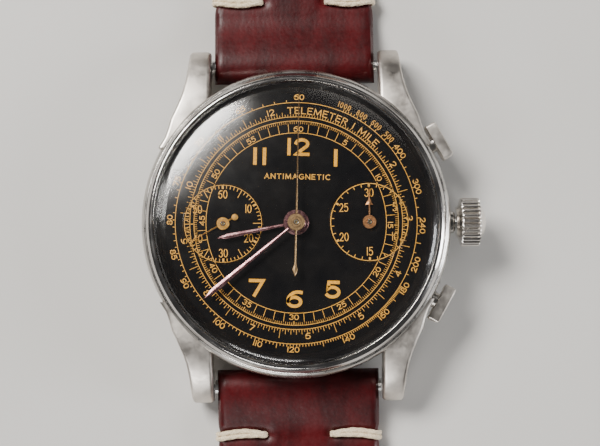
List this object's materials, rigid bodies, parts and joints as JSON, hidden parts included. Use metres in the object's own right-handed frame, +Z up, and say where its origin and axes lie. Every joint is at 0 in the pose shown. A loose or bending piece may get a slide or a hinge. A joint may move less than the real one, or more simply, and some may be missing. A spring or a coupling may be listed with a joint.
{
  "type": "wristwatch",
  "caption": "Mechanical chronograph wristwatch with two sub-dials, crown and two pushers, on an open two-piece leather strap with a pin buckle.",
  "frame": {"origin": "centre of the case back's flat face", "axes": "+Z up through the dial, +Y towards 12 o'clock along the strap, +X towards the crown at 3 o'clock"},
  "size_m": [0.0413, 0.239, 0.012],
  "materials": {
    "polished_steel": "polished",
    "plain_steel": "satin",
    "spring_steel": "satin",
    "gilt_brass": "gilt",
    "rose_gilt": "gilt",
    "oxidised_steel": "oxidised",
    "black_enamel": "gloss",
    "acrylic": "clear",
    "burgundy_leather": "waxed"
  },
  "bodies": {
    "case": {"mid_case": "polished_steel", "case_back": "polished_steel", "bezel": "polished_steel", "crystal": "acrylic", "movement_ring": "gilt_brass", "dial": "black_enamel", "main_plate": "gilt_brass", "train_bridge": "gilt_brass", "barrel_bridge": "gilt_brass", "balance_cock": "gilt_brass", "chronograph_bridge": "gilt_brass", "spring_bar_buckle_side": "plain_steel", "spring_bar_tip_side": "plain_steel", "hairspring": "spring_steel", "pusher_spring_start_stop": "spring_steel", "pusher_spring_reset": "spring_steel"},
    "seconds": {"fourth_wheel": "gilt_brass", "driving_wheel": "gilt_brass", "small_seconds_hand": "gilt_brass"},
    "third_wheel": {"third_wheel": "gilt_brass"},
    "minutes": {"center_wheel": "gilt_brass", "cannon_pinion": "plain_steel", "minute_hand": "oxidised_steel"},
    "minute_wheel": {"minute_wheel": "gilt_brass"},
    "hours": {"hour_wheel": "gilt_brass", "hour_hand": "oxidised_steel"},
    "escape_wheel": {"escape_wheel": "plain_steel"},
    "pallet_fork": {"pallet_fork": "plain_steel"},
    "balance": {"balance_wheel": "gilt_brass"},
    "barrel": {"barrel": "gilt_brass", "mainspring": "spring_steel"},
    "ratchet": {"barrel_arbor": "plain_steel", "ratchet_wheel": "plain_steel"},
    "crown_wheel": {"crown_wheel": "plain_steel"},
    "click": {"click": "plain_steel"},
    "setting_lever": {"setting_lever": "plain_steel"},
    "crown": {"crown": "polished_steel", "winding_stem": "plain_steel"},
    "winding_pinion": {"winding_pinion": "plain_steel"},
    "yoke": {"yoke": "plain_steel"},
    "sliding_pinion": {"sliding_pinion": "plain_steel"},
    "clutch": {"clutch_lever": "plain_steel"},
    "coupling_wheel": {"coupling_wheel": "gilt_brass"},
    "chronograph": {"chronograph_runner": "gilt_brass", "chronograph_hand": "gilt_brass"},
    "intermediate_wheel": {"intermediate_wheel": "gilt_brass"},
    "minute_counter": {"minute_runner": "gilt_brass", "minute_counter_hand": "rose_gilt"},
    "column_wheel": {"column_wheel": "plain_steel"},
    "start_stop_pusher": {"pusher_start_stop": "polished_steel"},
    "operating_lever": {"operating_lever": "plain_steel"},
    "reset_pusher": {"pusher_reset": "polished_steel"},
    "reset_hammer": {"reset_hammer": "plain_steel"},
    "strap_buckle_side": {"strap_buckle_side": "burgundy_leather", "fixed_keeper": "burgundy_leather"},
    "floating_keeper": {"floating_keeper": "burgundy_leather"},
    "buckle": {"buckle_frame": "polished_steel", "buckle_bar": "plain_steel"},
    "buckle_tang": {"buckle_tang": "polished_steel"},
    "strap_tip_side": {"strap_tip_side": "burgundy_leather"}
  },
  "joints": [
    {"name": "seconds_turn", "type": "hinge", "parent": "case", "child": "seconds", "pos_m": [-0.0087, 0, 0.005], "axis": [0, 0, -1], "continuous": true},
    {"name": "third_wheel_turn", "type": "hinge", "parent": "case", "child": "third_wheel", "pos_m": [-0.00447, 0.00266, 0.005], "axis": [0, 0, -1], "continuous": true},
    {"name": "minutes_turn", "type": "hinge", "parent": "case", "child": "minutes", "pos_m": [0, 0, 0.005], "axis": [0, 0, -1], "continuous": true},
    {"name": "minute_wheel_turn", "type": "hinge", "parent": "case", "child": "minute_wheel", "pos_m": [0.00145, -0.00251, 0.005], "axis": [0, 0, -1], "continuous": true},
    {"name": "hours_turn", "type": "hinge", "parent": "case", "child": "hours", "pos_m": [0, 0, 0.005], "axis": [0, 0, -1], "continuous": true},
    {"name": "escape_wheel_turn", "type": "hinge", "parent": "case", "child": "escape_wheel", "pos_m": [-0.0077, -0.00372, 0.005], "axis": [0, 0, -1], "continuous": true},
    {"name": "pallet_fork_swing", "type": "hinge", "parent": "case", "child": "pallet_fork", "pos_m": [-0.00645, -0.00588, 0.005], "axis": [0, 0, -1], "range_deg": [-5, 5]},
    {"name": "balance_swing", "type": "hinge", "parent": "case", "child": "balance", "pos_m": [-0.0044, -0.0094, 0.005], "axis": [0, 0, -1], "range_deg": [-135, 135], "stiffness_Nm_per_rad": 0.0000006},
    {"name": "barrel_turn", "type": "hinge", "parent": "case", "child": "barrel", "pos_m": [0.00415, 0.00461, 0.005], "axis": [0, 0, -1], "continuous": true},
    {"name": "ratchet_turn", "type": "hinge", "parent": "case", "child": "ratchet", "pos_m": [0.00415, 0.00461, 0.005], "axis": [0, 0, 1], "continuous": true},
    {"name": "crown_wheel_turn", "type": "hinge", "parent": "case", "child": "crown_wheel", "pos_m": [0.0111, 0.00225, 0.005], "axis": [0, 0, 1], "continuous": true},
    {"name": "click_lift", "type": "hinge", "parent": "case", "child": "click", "pos_m": [0.00099, 0.00987, 0.005], "axis": [0, 0, 1], "range_deg": [0, 7], "stiffness_Nm_per_rad": 0.0001},
    {"name": "crown_pull", "type": "slide", "parent": "case", "child": "setting_lever", "axis": [1, 0, 0], "range_m": [0, 0.0009]},
    {"name": "crown_turn", "type": "hinge", "parent": "setting_lever", "child": "crown", "pos_m": [0.0208, 0, 0.0053], "axis": [1, 0, 0], "continuous": true},
    {"name": "winding_pinion_turn", "type": "hinge", "parent": "case", "child": "winding_pinion", "pos_m": [0.0124, 0, 0.0053], "axis": [1, 0, 0], "continuous": true},
    {"name": "yoke_slide", "type": "slide", "parent": "case", "child": "yoke", "axis": [-1, 0, 0], "range_m": [0, 0.0009]},
    {"name": "sliding_pinion_turn", "type": "hinge", "parent": "yoke", "child": "sliding_pinion", "pos_m": [0.01125, 0, 0.0053], "axis": [1, 0, 0], "continuous": true},
    {"name": "clutch_engage", "type": "hinge", "parent": "case", "child": "clutch", "pos_m": [-0.0087, 0, 0.003], "axis": [0, 0, -1], "range_deg": [0, 9.4], "stiffness_Nm_per_rad": 0.0002},
    {"name": "coupling_wheel_turn", "type": "hinge", "parent": "clutch", "child": "coupling_wheel", "pos_m": [-0.00441, 0.00073, 0.00235], "axis": [0, 0, -1], "continuous": true},
    {"name": "chronograph_turn", "type": "hinge", "parent": "case", "child": "chronograph", "pos_m": [0, 0, 0.005], "axis": [0, 0, -1], "continuous": true},
    {"name": "intermediate_wheel_turn", "type": "hinge", "parent": "case", "child": "intermediate_wheel", "pos_m": [0.0041, 0, 0.0027], "axis": [0, 0, -1], "continuous": true},
    {"name": "minute_counter_turn", "type": "hinge", "parent": "case", "child": "minute_counter", "pos_m": [0.0087, 0, 0.005], "axis": [0, 0, -1], "continuous": true},
    {"name": "column_wheel_turn", "type": "hinge", "parent": "case", "child": "column_wheel", "pos_m": [0.0034, 0.0098, 0.0027], "axis": [0, 0, -1], "continuous": true},
    {"name": "start_stop_press", "type": "slide", "parent": "case", "child": "start_stop_pusher", "axis": [-0.8704, -0.4924, 0], "range_m": [0, 0.00075], "stiffness_N_per_m": 2000, "deforming": ["pusher_spring_start_stop"]},
    {"name": "operating_lever_turn", "type": "hinge", "parent": "case", "child": "operating_lever", "pos_m": [0.0092, 0.0106, 0.003], "axis": [0, 0, -1], "range_deg": [0, 9.3]},
    {"name": "reset_press", "type": "slide", "parent": "case", "child": "reset_pusher", "axis": [-0.8704, 0.4924, 0], "range_m": [0, 0.00075], "stiffness_N_per_m": 2000, "deforming": ["pusher_spring_reset"]},
    {"name": "reset_hammer_turn", "type": "hinge", "parent": "case", "child": "reset_hammer", "pos_m": [0.00435, -0.009, 0.003], "axis": [0, 0, 1], "range_deg": [0, 3.9]},
    {"name": "strap_buckle_side_swing", "type": "hinge", "parent": "case", "child": "strap_buckle_side", "pos_m": [0, 0.0196, 0.0023], "axis": [1, 0, 0], "range_deg": [-60, 70]},
    {"name": "floating_keeper_slide", "type": "slide", "parent": "strap_buckle_side", "child": "floating_keeper", "axis": [0, 1, 0], "range_m": [-0.012, 0.005]},
    {"name": "buckle_swing", "type": "hinge", "parent": "strap_buckle_side", "child": "buckle", "pos_m": [0, 0.0946, 0.00195], "axis": [1, 0, 0], "range_deg": [-60, 45]},
    {"name": "buckle_tang_swing", "type": "hinge", "parent": "buckle", "child": "buckle_tang", "pos_m": [0, 0.0946, 0.00195], "axis": [1, 0, 0], "range_deg": [0, 75]},
    {"name": "strap_tip_side_swing", "type": "hinge", "parent": "case", "child": "strap_tip_side", "pos_m": [0, -0.0196, 0.0023], "axis": [-1, 0, 0], "range_deg": [-60, 70]}
  ],
  "couplings": [
    {"joint": "third_wheel_turn", "follows": "seconds_turn", "ratio": -0.13333},
    {"joint": "minutes_turn", "follows": "seconds_turn", "ratio": 0.016667},
    {"joint": "minute_wheel_turn", "follows": "seconds_turn", "ratio": -0.0055556},
    {"joint": "hours_turn", "follows": "seconds_turn", "ratio": 0.0013889},
    {"joint": "escape_wheel_turn", "follows": "seconds_turn", "ratio": -10},
    {"joint": "barrel_turn", "follows": "seconds_turn", "ratio": -0.002381},
    {"joint": "coupling_wheel_turn", "follows": "seconds_turn", "ratio": -3.75},
    {"joint": "winding_pinion_turn", "follows": "crown_turn", "ratio": 1},
    {"joint": "sliding_pinion_turn", "follows": "crown_turn", "ratio": 1},
    {"joint": "crown_wheel_turn", "follows": "crown_turn", "ratio": 0.63636},
    {"joint": "ratchet_turn", "follows": "crown_turn", "ratio": -0.35},
    {"joint": "yoke_slide", "follows": "crown_pull", "ratio": 1},
    {"joint": "intermediate_wheel_turn", "follows": "chronograph_turn", "ratio": -0.0625},
    {"joint": "minute_counter_turn", "follows": "chronograph_turn", "ratio": 0.033333},
    {"joint": "operating_lever_turn", "follows": "start_stop_press", "rad_per_m": 213},
    {"joint": "reset_hammer_turn", "follows": "reset_press", "rad_per_m": 88.9}
  ]
}
